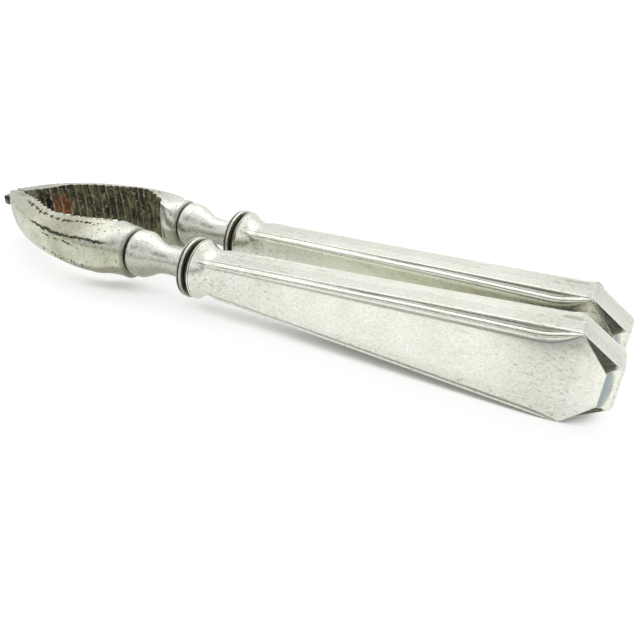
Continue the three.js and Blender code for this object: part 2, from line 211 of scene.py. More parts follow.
def capped(rings, values=None):
    """Points, faces and values of a skin over rings, its two ends closed by fans."""
    rings = np.asarray(rings, float)
    amount, count, _ = rings.shape
    points = np.vstack([rings.reshape(-1, 3), rings[0].mean(0), rings[-1].mean(0)])
    faces = ring_faces(amount, count)
    for first, middle in ((0, amount * count), ((amount - 1) * count, amount * count + 1)):
        faces += [(middle, first + i, first + (i + 1) % count) for i in range(count)]
    kept = {key: np.append(np.ravel(numbers), [0, 0]) for key, numbers in (values or {}).items()}
    return points, faces, kept


def placed(name, data):
    """A new object in the scene."""
    thing = bpy.data.objects.new(name, data)
    bpy.context.scene.collection.objects.link(thing)
    return thing


def show(name, mesh, material, body, node, crease=38):
    """Puts a finished mesh in the scene in place of its CAD node: crease is in degrees."""
    mesh.materials.clear()
    mesh.materials.append(material)
    mesh.shade_smooth()
    mesh.set_sharp_from_angle(angle=math.radians(crease))
    thing = placed(name, mesh)
    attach(thing, body)
    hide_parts(node)


def applied(mesh, prepare, *values):
    """The mesh with the modifiers that prepare adds to it applied, and its attributes kept."""
    carrier = placed("carrier", mesh)
    prepare(carrier, *values)
    bpy.context.view_layer.update()
    graph = bpy.context.evaluated_depsgraph_get()
    made = bpy.data.meshes.new_from_object(
        carrier.evaluated_get(graph), preserve_all_data_layers=True, depsgraph=graph
    )
    bpy.data.objects.remove(carrier)
    return made


def mixed(start, stop, share):
    return start + (stop - start) * share


def curve(start, corner, stop, amount):
    """Points on a soft bend from start round corner, which end just before stop."""
    start, corner, stop = (np.asarray(p, float) for p in (start, corner, stop))
    shares = np.linspace(0, 1, amount, endpoint=False)
    return [mixed(mixed(start, corner, t), mixed(corner, stop, t), t) for t in shares]


def circle(middle, radius, angles):
    return [(middle[0] + radius * math.cos(a), middle[1] + radius * math.sin(a)) for a in angles]


def soft_line(corners, radii, counts, bend=4):
    """Points along straights whose corners are rounded, with a fixed count on each straight and
    bend points round each corner."""
    corners = [np.asarray(c, float) for c in corners]
    lengths = [max(1e-9, np.linalg.norm(b - a)) for a, b in zip(corners, corners[1:])]
    ways = [(b - a) / length for a, b, length in zip(corners, corners[1:], lengths)]
    radii = [0, *radii, 0]
    for i in range(1, len(corners) - 1):
        radii[i] = min(radii[i], 0.45 * lengths[i - 1], 0.45 * lengths[i])
    points = []
    for i, amount in enumerate(counts):
        corner = corners[i + 1]
        start, stop = corners[i] + ways[i] * radii[i], corner - ways[i] * radii[i + 1]
        points += [mixed(start, stop, t) for t in np.linspace(0, 1, amount, endpoint=False)]
        if i + 1 < len(counts):
            points += curve(stop, corner, corner + ways[i + 1] * radii[i + 1], bend)
    points.append(corners[-1])
    return np.array(points)


def turned_rings(outline, sides):
    """Rings about an axis along X from [place, radius] points."""
    angles = np.linspace(0, 2 * math.pi, sides, endpoint=False)
    return [[(x, r * math.cos(a), r * math.sin(a)) for a in angles] for x, r in outline]


def bare_steel():
    """Bare carbon steel, filed and long worn: brown-black on its rims, grey where it rubs."""
    finish, tree, place = empty_finish("filed_bare_steel")
    stain = patchy(place, 0.0016, 5.0)
    hue = ramped(stain, [(0.32, "#2b2621"), (0.5, "#5d5a4e"), (0.68, "#a3a391")])
    rimmed = blend(*carried(tree, "rim"), hue, "#2c2824")
    dull = spread(stain, 0, 1, 0.62, 0.36)
    grain = relief(patchy(place, 0.00035, 3.0), 0.5, 0.00006)
    return completed(finish, rimmed, dull, grain, 0.85)


def plate_ring(inset, height):
    """One outline of the link plate, this far inside its rim, its corners kept round."""
    radius = max(least_corner, link_corner - inset)
    to_centre = (link_depth / 2 - link_corner, link_half_width - link_corner)
    slide = min(0, link_corner - inset - least_corner)
    ring = []
    for quarter, (side_x, side_y) in enumerate(((1, 1), (-1, 1), (-1, -1), (1, -1))):
        x = link_depth / 2 + side_x * (to_centre[0] + slide)
        y = side_y * (to_centre[1] + slide)
        ring += circle((x, y), radius, (quarter + np.linspace(0, 1, 9)) * math.pi / 2)
    return [(*point, height) for point in ring]


steel = bare_steel()
# inset in mm, height as a share of the half thickness, and how dark the rim is
rims = [(0.8, -1, 0), (0.5, -1, 0.5), (0.22, -1, 1), (0.07, -0.93, 1), (0, -0.8, 1), (0, -0.4, 0.3)]
rims += [(inset, -height, rim) for inset, height, rim in reversed(rims)]
plate = [plate_ring(inset, height * link_half_thickness) for inset, height, _ in rims]
rim_values = [[rim] * len(plate[0]) for _, _, rim in rims]
mesh = solid_mesh("hinge_link_plate", *capped(plate, {"rim": rim_values}))
show("hinge_link_plate", mesh, steel, "hinge", "hinge_link")

flat_end = rivet_half_length - rivet_bevel
rivet_corners = [(-rivet_half_length, 0), (-flat_end, rivet_radius)]
rivet_corners += [(-x, r) for x, r in reversed(rivet_corners)]
rivet_outline = soft_line(rivet_corners, [rivet_rounding] * 2, [4, 6, 4])[1:-1]
for side, y in (("front", -1), ("rear", 1)):
    rings = [
        [(rivet_place[0] - b, y * rivet_place[1] + c, a) for a, b, c in ring]
        for ring in turned_rings(rivet_outline, rivet_sides)
    ]
    mesh = solid_mesh(f"{side}_rivet", *capped(rings))
    show(f"{side}_rivet", mesh, steel, "hinge", f"{side}_hinge_rivet")

# Jaw arms: each is one steel forging, filed to shape and silver plated. The nut face is cut into
# upright saw teeth, now rusted. Behind it the arm is turned: groove, bolster, waist and flange.
jaw_length = 56.0
seam_half_gap = 0.15
land_width = 1.6
outer_bulge = 0.35
first_tooth = 7.6
last_tooth = 49.2
tooth_pitch = 2.19
tooth_depth = 0.85
tooth_pitting = 0.25
tooth_waves = 0.3
tooth_lean = 0.08  # how far back each tooth leans for its height
nose_start = 1.0
nose_radius = 1.6
nose_first_angle = 0.31  # radians round the nose at which the skin starts
shoulder_step = 0.9
belly_share = 1.1 / 6.3
arm_offset = 10.9
arm_lean = math.radians(1.65)
shoulder_radius = 6.3
shoulder_rounding = 1.1
groove_radius = 5.35
bolster_length = 16.8
bolster_radius = 6.05
flange_back = 1.5
tang_tip = 57.5
slot_half_height = 1.27
slot_radius = 2.98
hole_radius = 0.79
hole_half_height = 2.05
stations = np.array([0, 0.143, 0.321, 0.536, 0.75, 0.89, 1]) * jaw_length
along_arm = np.array([math.cos(arm_lean), -math.sin(arm_lean)])
across_arm = np.array([math.sin(arm_lean), math.cos(arm_lean)])
arm_front = np.array([jaw_length, arm_offset]) + bolster_length * along_arm
# Half a jaw's section: points on the outer face, the facet, the land and the nut face, with
# corner_points round each corner between them.
face_points, corner_points = [7, 10, 6, 12], 5
ridge_point, land_point, edge_point = 9, 27, 35
ridge_chip_width = 1.2
far = 20.0  # mm, further from an edge than any wear


def smooth_curve(x, places, values, slopes):
    """The curve through values at places that has these slopes there."""
    k = int(np.clip(np.searchsorted(places, x, side="right") - 1, 0, len(places) - 2))
    span, rise = places[k + 1] - places[k], values[k + 1] - values[k]
    t = (x - places[k]) / span
    a, b = slopes[k] * span - rise, rise - slopes[k + 1] * span
    return values[k] + t * rise + t * (1 - t) * (a * (1 - t) + b * t)


def through(values):
    """A smooth curve through values at the jaw's stations."""
    values = np.array(values, float)
    before, after = np.maximum(0, np.arange(7) - 1), np.minimum(6, np.arange(7) + 1)
    slopes = (values[after] - values[before]) / (stations[after] - stations[before])
    return lambda x: smooth_curve(x, stations, values, slopes)


def share_of(x, start, stop):
    """How far x is from start to stop, from 0 to 1."""
    return min(1, max(0, (x - start) / (stop - start)))


def ease(x, start, stop):
    """The same, with a soft start and stop."""
    t = share_of(x, start, stop)
    return t * t * (3 - 2 * t)


def on_arm(points):
    """Points given along the rear arm from its flange, outwards and up, in the arms' plane."""
    points = np.asarray(points, float)
    flat = arm_front + points[..., :1] * along_arm + points[..., 1:2] * across_arm
    return np.concatenate([flat, points[..., 2:]], -1)


def mirrored(mesh, side):
    """A mesh of the rear arm, turned into the front arm's where side says so."""
    if side == "front":
        mesh.transform(Matrix.Diagonal((1, -1, 1, 1)))
        mesh.flip_normals()
    return mesh


ridge_at = through([0.9, 7.5, 13.25, 17.71, 19.40, 18.60, arm_offset + shoulder_radius])
crest_at = through([0, 1.5, 6.4, 11.15, 11.40, 7.70, arm_offset - shoulder_radius])
height_at = through([2.2, 2.95, 4.92, 5.4, 6.60, 6.27, shoulder_radius])
ridge_height_at = through([1.85, 3.10, 3.70, 3.80, 3.89, 4.09, shoulder_radius / 2])


def jaw_ring(x, seed):
    """One section of the rear jaw: its points, and for each the share of nut face, of painted shade
    in the groove (recess) and of painted shade on the underside, and the distance in mm from the
    ridge and from the edge of the nut face."""
    crest = crest_at(x)
    blank = max(seam_half_gap, crest - shoulder_step)
    toothed = first_tooth - tooth_pitch < x <= last_tooth
    opening = ease(x, first_tooth - tooth_pitch, first_tooth - tooth_pitch + 1.2)
    face = mixed(blank, max(crest, blank), opening) if toothed else blank
    nose = math.sqrt(max(0, 1 - (1 - min((x - nose_start) / nose_radius, 1)) ** 2))
    ridge = mixed(rivet_place[1], ridge_at(x), nose)
    face = mixed(rivet_place[1], face, nose)
    height, ridge_height = height_at(x), ridge_height_at(x)
    land = min(max(crest, face) + land_width, (face + ridge) / 2)
    softness = 0.35 + 2.2 * ease(x, 36, 52)
    corners = [(ridge, 0), (ridge, ridge_height), (land, height), (face, height), (face, 0)]
    half = soft_line(corners, [softness, 0.45, 0.1], face_points, corner_points)
    half[:, 0] += outer_bulge * np.clip(1 - (half[:, 1] / ridge_height) ** 2, 0, 1)
    spot = np.arange(len(half))
    facing = np.clip((spot - land_point) / 6, 0, 1) if toothed else np.zeros(len(half))
    run = np.concatenate([[0], np.cumsum(np.hypot(*np.diff(half, axis=0).T))])
    from_ridge, from_edge = run - run[ridge_point], run[edge_point] - run
    below = half[-2:0:-1] * [1, -1]
    outline = np.vstack([half, below])
    facing = np.concatenate([facing, facing[-2:0:-1]])
    from_ridge = np.concatenate([from_ridge, -2 * run[ridge_point] - from_ridge[-2:0:-1]])
    from_edge = np.concatenate([from_edge, np.full(len(below), far)])
    melt = ease(x, 0.82 * jaw_length, jaw_length - shoulder_rounding)
    turn = max(0, (x - jaw_length) / shoulder_rounding + 1)
    radius = mixed(groove_radius, shoulder_radius, math.sqrt(max(0, 1 - turn * turn)))
    middle = (face + ridge) / 2 * (1 - melt) + arm_offset * melt
    belly = 1 + belly_share * ease(x, 0.55 * jaw_length, last_tooth) * (1 - turn)
    away = outline - [middle, 0]
    scale = 1 - melt + melt * radius / np.hypot(*away.T)
    away *= scale[:, None]
    away[away[:, 1] < 0, 1] *= belly
    ring = np.column_stack([x - tooth_lean * away[:, 1] * facing, away[:, 0] + middle, away[:, 1]])
    worn = ease(x, 5, 12) * (1 - ease(x, 44, 50))
    for i in np.nonzero(np.abs(from_ridge) < ridge_chip_width)[0]:
        chip = noise.noise(Vector(ring[i] * [0.75, 0.75, 0.4]) + Vector((seed, 0, 0)))
        bite = max(0, chip - 0.05) * (1 - abs(from_ridge[i]) / ridge_chip_width) * worn
        ring[i, 1] -= bite * 0.5
        ring[i, 2] -= math.copysign(bite * 0.35, ring[i, 2])
    # painted shade in the groove before the bolster
    recess = np.full(len(ring), ease(x, jaw_length - 1.3, jaw_length))
    # painted shade on the lower facets, under the ridge
    under = np.concatenate([np.zeros(len(half)), (spot > face_points[0])[-2:0:-1] * 1.0])
    kept = {"nut_face": facing, "from_ridge": from_ridge, "from_edge": from_edge}
    return ring, {**kept, "recess": recess, "under": under}


def arm_outline():
    """The turned part from the groove to the back of the flange: [place, radius, recess], where
    recess is the share of painted shade in the groove, by the flange and between the beads.
    """
    groove = [(-16.8, 5.1, 1), (-16.78, 4.85, 1), (-16.55, 4.83, 1), (-16.3, 4.85, 1)]
    top = -14.98
    bolster = [(-16.3, 5.75, 0.9), (-16.16, 5.95, 0.4), (-15.62, 6.03, 0), (top, bolster_radius, 0)]
    places = np.array([-13.4, -11.5, -9.53, -6.88, -4.3, -2.15, -0.9, -0.1])
    radii = np.array([5.95, 5.07, 4.1, 3.6, 3.64, 3.95, 4.4, 5.1])
    slopes = np.gradient(radii, places)
    waist = []
    for x in np.linspace(-14.8, places[-1], 54):
        if x < places[0]:
            radius = mixed(bolster_radius, radii[0], share_of(x, top, places[0]) ** 2)
        else:
            radius = smooth_curve(x, places, radii, slopes)
        waist.append((x, radius, 0.75 * ease(x, -2.6, -0.2)))
    small_bead = [(0, 5.3, 1), (0.02, 6.2, 1), (0.02, 7.15, 0.7), (0.08, 7.35, 0.2)]
    small_bead += [(0.18, 7.44, 0), (0.28, 7.36, 0.3), (0.36, 7.1, 1), (0.53, 6.75, 1)]
    big_bead = [(0.74, 7.1, 1), (0.82, 7.45, 0.3), (0.92, 7.57, 0), (1.12, 7.6, 0)]
    big_bead += [(1.3, 7.57, 0), (1.43, 7.45, 0.2), (flange_back, 7.25, 0.6)]
    back = [(flange_back, radius, 1) for radius in (6.2, 4.5, 2.6)]
    return [*groove, *bolster, *waist, *small_bead, *big_bead, *back]


def forged_arm(name, seed):
    """The rear arm's skin from its nose to the tip of the square tang inside the handle."""
    angle = np.linspace(nose_first_angle, math.pi / 2, 9)
    places = list(nose_start + nose_radius * (1 - np.cos(angle)))
    places += list(np.linspace(rivet_place[0], first_tooth, 22)[1:])
    teeth = round((last_tooth - first_tooth) / tooth_pitch)
    steps = np.array([0.06, 0.16, 0.28, 0.4, 0.5, 0.6, 0.72, 0.84, 0.94, 1.0])
    places += [first_tooth + (tooth + step) * tooth_pitch for tooth in range(teeth) for step in steps]
    places[-1] = last_tooth
    places += list(np.linspace(last_tooth + 0.08, jaw_length - shoulder_rounding, 20))
    places += list(jaw_length - shoulder_rounding * (1 - np.sin(np.linspace(0, math.pi / 2, 8)[1:])))
    made = [jaw_ring(x, seed) for x in places]
    rings = [ring for ring, _ in made]
    layers = {key: [kept[key] for _, kept in made] for key in made[0][1]}
    away = rings[-1][:, 1:] - [arm_offset, 0]
    angles = np.arctan2(away[:, 1], away[:, 0])
    to_square = 1 / np.maximum(np.abs(np.cos(angles)), np.abs(np.sin(angles)))
    turned = [(s, np.full(len(angles), radius), recess) for s, radius, recess in arm_outline()]
    tang = [(s, half * to_square, 1) for s, half in ((flange_back, 2.0), (tang_tip, 1.1))]
    plain = {"nut_face": 0, "from_ridge": far, "from_edge": far}
    # painted shade: the lower side of each turned ring darker
    plain["under"] = np.clip(0.7 - 1.1 * np.sin(angles), 0, 1)
    for s, radii, recess in (*turned, *tang):
        flat = [np.full(len(angles), s), radii * np.cos(angles), radii * np.sin(angles)]
        rings.append(on_arm(np.column_stack(flat)))
        for key, value in {**plain, "recess": recess}.items():
            layers[key].append(np.broadcast_to(value, len(angles)).astype(float))
    return solid_mesh(name, *capped(rings, layers))


def filed_teeth(material):
    """Geometry Nodes: pushes the nut face back into leaning V grooves at a pitch, each a little
    different, waved and pitted by rust, and keeps each corner's depth and place in its tooth."""
    tree = bpy.data.node_groups.new("filed_teeth", "GeometryNodeTree")
    side = tree.interface
    side.new_socket("Jaw", in_out="INPUT", socket_type="NodeSocketGeometry")
    for key in ("First Tooth", "Pitch", "Depth", "Lean", "Pitting", "Waves"):
        side.new_socket(key, in_out="INPUT", socket_type="NodeSocketFloat")
    side.new_socket("Seed", in_out="INPUT", socket_type="NodeSocketInt")
    side.new_socket("Jaw", in_out="OUTPUT", socket_type="NodeSocketGeometry")
    given = add(tree, "NodeGroupInput").outputs
    place = add(tree, "GeometryNodeInputPosition").outputs["Position"]

    def seeded(size, **looks):
        looks = {"Vector": place, "W": given["Seed"], "Scale": 1 / size, **looks}
        return add(tree, "ShaderNodeTexNoise", looks, noise_dimensions="4D").outputs[0]

    parts = add(tree, "ShaderNodeSeparateXYZ", {0: place}).outputs
    above = maths("SUBTRACT", parts["Z"], nose_place.z)
    along = maths("MULTIPLY_ADD", above, given["Lean"], parts["X"])
    mask = add(tree, "GeometryNodeInputNamedAttribute", {"Name": "nut_face"}).outputs["Attribute"]
    count = maths("DIVIDE", maths("SUBTRACT", along, given["First Tooth"]), given["Pitch"])
    share = maths("FRACT", count)
    to_crest = maths("ABSOLUTE", maths("MULTIPLY_ADD", share, 2.0, -1.0))
    deep = product(spread(to_crest, 0.94, 0.06), maths("GREATER_THAN", count, 0.0))
    deep = product(deep, mask)
    tooth = {0: maths("FLOOR", count)}
    tooth = add(tree, "FunctionNodeFloatToInt", tooth, rounding_mode="FLOOR").outputs[0]
    chance = {2: 0.75, 3: 1.12, "ID": tooth, "Seed": given["Seed"]}
    varied = add(tree, "FunctionNodeRandomValue", chance, data_type="FLOAT").outputs[1]
    grown = product(varied, spread(count, 1.5, 5.0, 0.4, 1.0))
    cut_depth = product(product(deep, grown), given["Depth"])
    rust = seeded(0.0013, Detail=4.0, Roughness=0.65)
    pits = product(spread(rust, 0.3, 0.7, -0.5, 1.0), given["Pitting"])
    push = maths("ADD", cut_depth, product(pits, mask))
    sway = spread(seeded(0.0035, Detail=2.0), 0.25, 0.75, -1.0, 1.0)
    wave = product(sway, given["Waves"])
    offset = add(tree, "ShaderNodeCombineXYZ", {"X": product(wave, mask), "Y": push})
    jaw = given["Jaw"]
    for key, value in (("valley", deep), ("flank", share)):
        kept = {"Geometry": jaw, "Name": key, "Value": value}
        jaw = wired("GeometryNodeStoreNamedAttribute", kept, domain="POINT").outputs[0]
    for kind, others in (
        ("GeometryNodeSetPosition", {"Offset": offset.outputs[0]}),
        ("GeometryNodeRealizeInstances", {}),
        ("GeometryNodeSetMaterial", {"Material": material}),
    ):
        jaw = wired(kind, {"Geometry": jaw, **others}).outputs[0]
    wired("NodeGroupOutput", {"Jaw": jaw})
    return tree


def offset_from(place, middle):
    return wired("ShaderNodeVectorMath", {0: place, 1: middle}, operation="SUBTRACT").outputs[0]


def length_of(vector):
    return wired("ShaderNodeVectorMath", {0: vector}, operation="LENGTH").outputs["Value"]


def ball(place, middle, reach):
    """1 inside a soft torn egg and 0 outside it. Its middle counts from the link's front, and it
    and the reach along each axis are in mm."""
    scaled = stretched(offset_from(place, tuple(in_frame(middle))), [1000 / r for r in reach])
    torn = maths("MULTIPLY_ADD", patchy(place, 0.0012), 0.9, length_of(scaled))
    return spread(torn, 1.6, 1.2)


def torn_line(place, away, start, stop, drift, width, size):
    """1 on a thin broken line where away, in mm, is near 0, from start to stop along the jaw. It
    drifts this many mm aside, its width varies between two values, and size is its waves'."""
    along = wired("ShaderNodeSeparateXYZ", {0: place}).outputs["X"]
    run = stretched(place, (1, 0.25, 0))
    sway = spread(patchy(run, size, 5.0, 0.7), 0.25, 0.75, -drift, drift)
    off = maths("ABSOLUTE", maths("SUBTRACT", away, sway))
    waves = patchy(stretched(run, (1.3, 1, 1)), size * 0.6, 4.0, 0.7)
    past_edge = maths("SUBTRACT", off, spread(waves, 0.4, 0.64, *width))
    torn = maths("MULTIPLY_ADD", patchy(place, 0.0005), 0.16, past_edge)
    fade = 0.002
    started = spread(along, along_frame(start), along_frame(start) + fade)
    ended = spread(along, along_frame(stop), along_frame(stop) - fade)
    return product(spread(torn, 0.14, 0.04), product(started, ended))


def worn_plate():
    """Silver plate over forged steel: pale green-grey with a fine grain, painted grey shade in the
    groove and on the underside, a painted highlight on the bolster's top, torn black where the plate
    has gone along its edges, and rusted brown and olive on the nut face, each tooth with one flank
    painted lighter and the other darker."""
    finish, tree, place = empty_finish("worn_silver_plate")
    nut_face, valley, flank = carried(tree, "nut_face", "valley", "flank")
    from_ridge, from_edge = carried(tree, "from_ridge", "from_edge")
    under, recess = carried(tree, "under", "recess")
    along = add(tree, "ShaderNodeSeparateXYZ", {0: place}).outputs["X"]

    def between(start, stop, low=0.0, high=1.0):
        """From low to high between two places along the jaw, in mm behind the link's front."""
        return spread(along, along_frame(start), along_frame(stop), low, high)

    # The plate, from the nose's cold grey, a painted reflection, to a painted highlight on the
    # bolster's top, with painted shade on the upper facet and the underside and painted light along
    # the belly.
    cloud = patchy(place, 0.006, 5.0)
    grain = patchy(place, 0.0007, 5.0, 0.75)
    plate = ramped(cloud, [(0.3, "#aeae9a"), (0.5, "#c3c3af"), (0.7, "#d6d7c6")])
    # painted reflection: the nose greyer towards its tip
    plate = blend(between(24, 4, 0.0, 0.5), plate, "#a9b0a4")
    above = spread(from_ridge, -0.5, 1.5)
    # painted shade: the upper facet above the ridge darker, more so towards the bolster
    plate = blend(product(above, between(26, 48, 0.2, 0.4)), plate, "#9a9a85")
    # painted highlight: the top pale from 42 mm back over the bolster
    plate = blend(product(above, between(42, 54)), plate, "#e6e8dd")
    # painted shade: the underside darker
    plate = blend(product(under, 0.72), plate, "#8d8a76")
    # painted light: the plate lighter along the belly
    on_belly = product(between(10, 22), between(38, 30))
    plate = tinted(plate, maths("MULTIPLY_ADD", on_belly, 0.14, 1.0))
    plate = tinted(plate, spread(grain, 0.3, 0.7, 0.68, 1.2))
    # painted shade where the recess share is high: the groove, by the flange and between the beads
    shadowed = blend(product(recess, 0.75), plate, "#6a675c")

    # Bare steel: specks, pits, and torn lines beside the ridge and the nut face's edge.
    speck = spread(patchy(place, 0.0011, 3.0, 0.7), 0.68, 0.74)
    pits = spread(patchy(place, 0.0007, 2.0, 0.5), 0.62, 0.7, 0.0, 0.7)
    bare = maths("MAXIMUM", speck, pits)
    for edge, aside, start, stop, drift, width, size, strength in (
        (from_ridge, between(34, 48, 0.2, -0.8), 24.0, 52.5, 0.6, (0.15, 0.55), 0.005, 1.0),
        (from_ridge, 1.5, 30.0, 44.0, 0.5, (-0.05, 0.32), 0.003, 1.0),
        (from_edge, -2.8, 14.0, 47.0, 0.5, (-0.3, 0.85), 0.003, 1.0),
        (from_ridge, 6.3, 26.0, 48.0, 1.3, (-0.25, 0.6), 0.0021, 1.0),
        (from_edge, -1.2, 5.0, 15.0, 0.9, (-0.2, 0.75), 0.002, 0.6),
    ):
        away = maths("ADD", edge, aside)
        line = torn_line(place, away, start, stop, drift, width, size)
        bare = maths("MAXIMUM", bare, product(line, strength))
    hue = ramped(grain, [(0.4, "#23201b"), (0.6, "#5b574a")])
    chipped = blend(bare, shadowed, hue)

    # The nut face: rust from black through olive to orange, and teeth rubbed pale on their crests.
    rust = patchy(place, 0.0034, 6.0, 0.72)
    rub = patchy(place, 0.0011, 5.0, 0.75)
    rust_stops = [(0.34, "#14130c"), (0.44, "#2e2b1d"), (0.53, "#4d4a34"), (0.62, "#696648")]
    rusty = ramped(rust, [*rust_stops, (0.74, "#835f37")])
    # painted light and shade: each tooth lighter on its first flank and darker on its second
    rusty = tinted(rusty, spread(flank, 0.42, 0.6, 1.25, 0.42))
    rusty = tinted(rusty, spread(rub, 0.3, 0.7, 0.5, 1.5))
    rusty = tinted(rusty, between(43, 50, 1.0, 2.2))
    red = ramped(rub, [(0.35, "#4f2a12"), (0.55, "#87512a"), (0.7, "#a06a3c")])
    rusty = blend(ball(place, (14.3, 4.2, -2.0), (2.8, 4, 3.8)), rusty, red)
    rusty = blend(ball(place, (11.0, 2.5, -1.2), (1.7, 4, 2.6)), rusty, "#0d0805")
    crest_at = spread(maths("MULTIPLY_ADD", valley, -0.9, rub), 0.3, 0.56)
    gaps = patchy(stretched(place, (1.6, 1, 0.7)), 0.0028, 3.0, 0.7)
    crest_at = product(crest_at, spread(gaps, 0.4, 0.6, 0.1, 1.0))
    flakes = patchy(stretched(place, (1.5, 1, 0.6)), 0.0008, 4.0, 0.75)
    crest_at = maths("MAXIMUM", crest_at, spread(flakes, 0.56, 0.64, 0.0, 0.8))
    pale = ramped(grain, [(0.35, "#867f5c"), (0.65, "#d8d3ae")])
    rubbed = blend(crest_at, rusty, pale)
    rust_at = spread(maths("ADD", nut_face, rub), 1.2, 1.4)
    rust_at = product(rust_at, between(5.5, 8.5))
    whole = blend(rust_at, chipped, rubbed)
    whole = blend(ball(place, (50.7, 6.1, -2.6), (0.8, 2, 1.6)), whole, "#15110c")

    dirt = maths("MAXIMUM", bare, rust_at)
    shine = spread(dirt, 0, 1, 1.0, 0.15)
    dull = maths("MULTIPLY_ADD", grain, 0.3, 0.16)
    duller = add(tree, "ShaderNodeMix", {0: dirt, 2: dull, 3: 0.78}, data_type="FLOAT").outputs[0]
    hammered = relief(patchy(place, 0.0028), 0.4, 0.0003)
    grained = relief(grain, 0.35, 0.00008, hammered)
    sunk = relief(maths("SUBTRACT", 1.0, dirt), 0.7, 0.00015, grained)
    crust = relief(rub, nut_face, 0.0003, sunk)
    return completed(finish, whole, duller, crust, shine)


def prism(name, outline, half_height):
    """An object to cut with: an outline in the arms' plane, this high above and below it."""
    count = len(outline)
    points = [(x, y, z) for z in (-half_height, half_height) for x, y in outline]
    ends = [tuple(range(count)), tuple(range(count, 2 * count))]
    return placed(name, solid_mesh(name, points, ring_faces(2, count) + ends))


def cut_teeth(carrier, seed):
    nodes = carrier.modifiers.new("teeth", "NODES")
    nodes.node_group = teeth
    sizes = {"Pitch": tooth_pitch, "Depth": tooth_depth}
    sizes |= {"Pitting": tooth_pitting, "Waves": tooth_waves}
    values = {key: size / 1000 for key, size in sizes.items()}
    values |= {"First Tooth": along_frame(first_tooth), "Lean": tooth_lean, "Seed": seed}
    for key, value in values.items():
        nodes[socket_of[key]] = value


def cut_slot(carrier):
    for cutter in cutters:
        cut = carrier.modifiers.new(cutter.name, "BOOLEAN")
        cut.operation = "DIFFERENCE"
        cut.object = cutter
        cut.solver = "MANIFOLD"


plate_finish = worn_plate()
teeth = filed_teeth(plate_finish)
socket_of = {i.name: i.identifier for i in teeth.interface.items_tree if i.in_out == "INPUT"}
arc = circle(rivet_place, slot_radius, np.linspace(0, math.pi / 2, 20))
before_nose, past_seam, past_ridge = -2, -1.85, 12
slot_outline = [(before_nose, past_seam), (arc[0][0], past_seam), *arc]
slot_outline += [(rivet_place[0], past_ridge), (before_nose, past_ridge)]
hole_outline = circle(rivet_place, hole_radius, np.linspace(0, 2 * math.pi, 28, endpoint=False))
cutters = [
    prism("slot_cutter", slot_outline, slot_half_height),
    prism("hole_cutter", hole_outline, hole_half_height),
]

for side, seed in (("rear", 3), ("front", 8)):
    toothed = applied(forged_arm(f"{side}_forging", seed), cut_teeth, seed)
    mesh = mirrored(applied(toothed, cut_slot), side)
    name, node = f"{side}_jaw_forging", f"{side}_jaw_arm"
    show(name, mesh, plate_finish, f"{side}_arm", node, crease=50)
for cutter in cutters:
    bpy.data.objects.remove(cutter)

# Ferrules: a short turned silver collar soldered into each handle's mouth, with a sunk neck
# against the flange and a half-round bead against the shells.
collar_sides = 96
# place behind the flange's front, radius, and how much tarnish is kept there
collar = [(1.6, 3.0, 1), (1.6, 5.9, 1), (1.65, 6.2, 1), (1.85, 6.3, 1), (2.4, 6.3, 1)]
collar += [(2.78, 6.32, 1), (2.84, 6.7, 0.9), (2.89, 7.1, 0.5), (2.95, 7.33, 0.1), (3.03, 7.46, 0)]
collar += [(3.1, 7.5, 0), (3.17, 7.46, 0), (3.24, 7.34, 0), (3.29, 7.2, 0.3), (3.3, 6.85, 0.6)]
collar += [(3.3, 5.0, 1), (3.3, 3.75, 1), (4.9, 3.75, 1), (4.9, 3.0, 1)]


